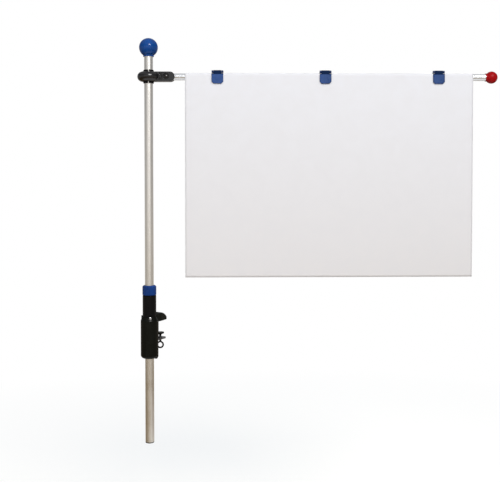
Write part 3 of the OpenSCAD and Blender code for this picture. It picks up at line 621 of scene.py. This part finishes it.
def make_screws(mat, dark_mat):
    """The screws with cross recesses and threads, each head turned its own way."""
    pair = []
    for side in (-1, 1):
        angle = math.radians(-90 + side * SLEEVE_SCREW_ANGLE)
        way = Vector((math.cos(angle), math.sin(angle), 0))
        at = POLE + way * (SLEEVE_SCREW_R * MM) + UP * (SLEEVE_SCREW_Z * MM)
        pair.append(place_bm(pan_screw(*SLEEVE_SCREW), at, way, side * SLEEVE_SCREW_SPIN))
    smooth_by_angle(new_piece("sleeve_screw_pair", join(*pair), "clamp", mat,
                              replaces=["sleeve_screws"]))
    pair = []
    for z, spin in BRACKET_SCREWS.items():
        at = POLE + Vector((0, BRACKET_SCREW_Y, z)) * MM
        pair.append(place_bm(pan_screw(*BRACKET_SCREW), at, Vector((0, 1, 0)), spin))
    smooth_by_angle(new_piece("bracket_screw_pair", join(*pair), "clamp", mat,
                              replaces=["bracket_screws"]))
    at = at_arm(ARM_SCREW_U, ARM_SCREW_V, 0)
    screw = place_bm(pan_screw(*ARM_SCREW), at, FRONT, ARM_SCREW_SPIN)
    smooth_by_angle(new_piece("arm_cross_screw", screw, "arm", dark_mat,
                              replaces=["arm_screw"]))


def make_thread(mat):
    """The clamp screw's thread, a ridge wound up its rod, whose first and last turns are lower."""
    pitch, low, high, steps = 0.8, -42.4, -29.8, 28
    root_r, end_r, crest_r = 2.30, 2.44, 2.60
    root_half, crest_half = 0.30, 0.05
    bm = bmesh.new()
    count = int((high - low) / pitch * steps)
    last = None
    for k in range(count + 1):
        angle, z = 2 * math.pi * k / steps, low + pitch * k / steps
        top_r = end_r + (crest_r - end_r) * min(1, k / steps, (count - k) / steps)
        outline = ((root_r, -root_half), (top_r, -crest_half),
                   (top_r, crest_half), (root_r, root_half))
        ring = [bm.verts.new(SCREW + on_circle(r, angle, z + dz)) for r, dz in outline]
        if last:
            for i in range(4):
                j = (i + 1) % 4
                bm.faces.new((last[i], last[j], ring[j], ring[i]))
        else:
            bm.faces.new(ring[::-1])
        last = ring
    bm.faces.new(last)
    bmesh.ops.recalc_face_normals(bm, faces=bm.faces)
    smooth_by_angle(new_piece("clamp_screw_thread", bm, "screw", mat), 30)


def cockle(s, d, w):
    """How far the sheet stands out of its plane, in mm, by the shares of its width and height
    and by the height over the arm's axis."""
    free = min(1.0, max(0.0, (-SHEET_TAUT - w) / SHEET_EASE))
    free = free * free * (3 - 2 * free)
    broad = noise.noise(Vector((s * 2.1 + 3.7, d * 1.3, 0.4))) * 2.2
    fine = noise.noise(Vector((s * 5.3, d * 2.9 + 8.0, 2.4))) * 0.7
    side = (abs(2 * s - 1) ** 6) * -0.8
    return free * (broad + fine + side)


def make_sheet(mat):
    """The hung sheet: taut under the clips, with slight cockle further down."""
    top = (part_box("plan_sheet")[1].z - ARM.z) / MM
    bm = bmesh.new()
    grid = []
    for r in range(SHEET_ROWS + 1):
        line = []
        for c in range(SHEET_COLS + 1):
            s, d = c / SHEET_COLS, r / SHEET_ROWS
            u, w = SHEET_LEFT + SHEET_W * s, top - SHEET_H * d
            line.append(bm.verts.new(at_arm(u, SHEET_OUT + cockle(s, d, w), w)))
        grid.append(line)
    for upper, lower in zip(grid, grid[1:]):
        for c in range(SHEET_COLS):
            bm.faces.new((lower[c], lower[c + 1], upper[c + 1], upper[c]))
    sheet = new_piece("hung_sheet", bm, "sheet", mat, replaces=["plan_sheet"])
    thick = sheet.modifiers.new("thickness", "SOLIDIFY")
    thick.thickness, thick.offset = SHEET_THICK * MM, 0.0


# ---------------------------------------------------------------- everything

bpy.context.scene.view_settings.view_transform = "Standard"
make_camera()
make_lamps()
make_world()
make_floor()

black_body = plastic("black_moulded", BODY_BLACK, rough=0.31, level=0.15, wear=0.4, edge=0.5)
black_sleeve = plastic("black_sleeve", SLEEVE_BLACK, rough=0.28, level=0.13, wear=0.3, shift=0.21)
black_hub = plastic("black_hub", HUB_BLACK, rough=0.22, level=0.56, wear=0.6, edge=0.5, shift=0.43)
black_bush = plastic("black_bush", BUSH_BLACK, rough=0.42, level=0.15, wear=0.3, edge=0.2,
                     shift=0.67)
blue_ball = plastic("blue_ball", BALL_BLUE, rough=0.13, level=0.27, texture=0.3, wear=0.0)
blue_nut = plastic("blue_nut", NUT_BLUE, rough=0.30, level=0.18, texture=0.8, wear=0.4, shift=0.3)
blue_clip = plastic("blue_clip", CLIP_BLUE, rough=0.30, level=0.25, texture=0.7, wear=0.2, edge=0.8,
                    shift=0.5, shade_band=HOOD_SHADE_Z, rim=2.0)
shaded_blue_saddle = plastic("shaded_blue_saddle", SADDLE_SHADE_BLUE, rough=0.34, level=0.15, texture=0.9, wear=0.3,
                      shift=0.8)
red_ball = plastic("red_ball", BALL_RED, rough=0.30, level=0.13, texture=0.3, wear=0.0, shift=0.1)
to_arm = Matrix.Rotation(math.radians(-90), 3, "Y") @ Matrix.Rotation(-TURN, 3, "Z")
pole_metal = tube_metal("pole_metal", (0, 0, 0), cool=(0.86, 0.84, 0.81), warm=(0.92, 0.89, 0.84),
                        wear=POLE_WEAR)
arm_metal = tube_metal("arm_metal", tuple(to_arm.to_euler("XYZ")), cool=(0.85, 0.88, 0.92),
                       warm=(0.88, 0.90, 0.93), wear=ARM_WEAR, rough=0.16, metal=0.78)
zinc = plated_steel("zinc_steel", (0.60, 0.61, 0.63), rough=0.24)
black_steel = plated_steel("black_steel", (0.010, 0.010, 0.011), rough=0.34, dark=True)
brown_steel = plated_steel("burnished_steel", (0.065, 0.063, 0.062), rough=0.22, dark=True)
bracket_steel = plated_steel("bracket_steel", (0.20, 0.20, 0.21), rough=0.32, dark=True)
grip_rubber = rubber()
sheet_paper = paper()

dress(black_body, "clamp_body", "pole_end_plug", "pressure_pad")
dress(black_sleeve, "holder_sleeve", "pole_liner", "collet_ring")
dress(black_hub, "hub_front_shell", "hub_rear_shell")
dress(black_bush, "split_bush")
dress(blue_ball, "top_ball")
dress(blue_nut, "collar_nut")
dress(red_ball, "arm_ball")
dress(pole_metal, "pole_tube")
dress(arm_metal, "arm_tube")
dress(zinc, "arm_nut", "sleeve_screws", "bracket_screws")
dress(black_steel, "clamp_screw")
dress(brown_steel, "arm_screw")
dress(bracket_steel, "lower_bracket")
dress(grip_rubber, "jaw_pad")
dress(sheet_paper, "plan_sheet")
for i in (1, 2, 3):
    dress(shaded_blue_saddle, f"clip_{i}_saddle")
    dress(blue_clip, f"clip_{i}_flap")
    dress(zinc, f"clip_{i}_pin", f"clip_{i}_spring")

make_screws(zinc, brown_steel)
make_thread(black_steel)
make_sheet(sheet_paper)
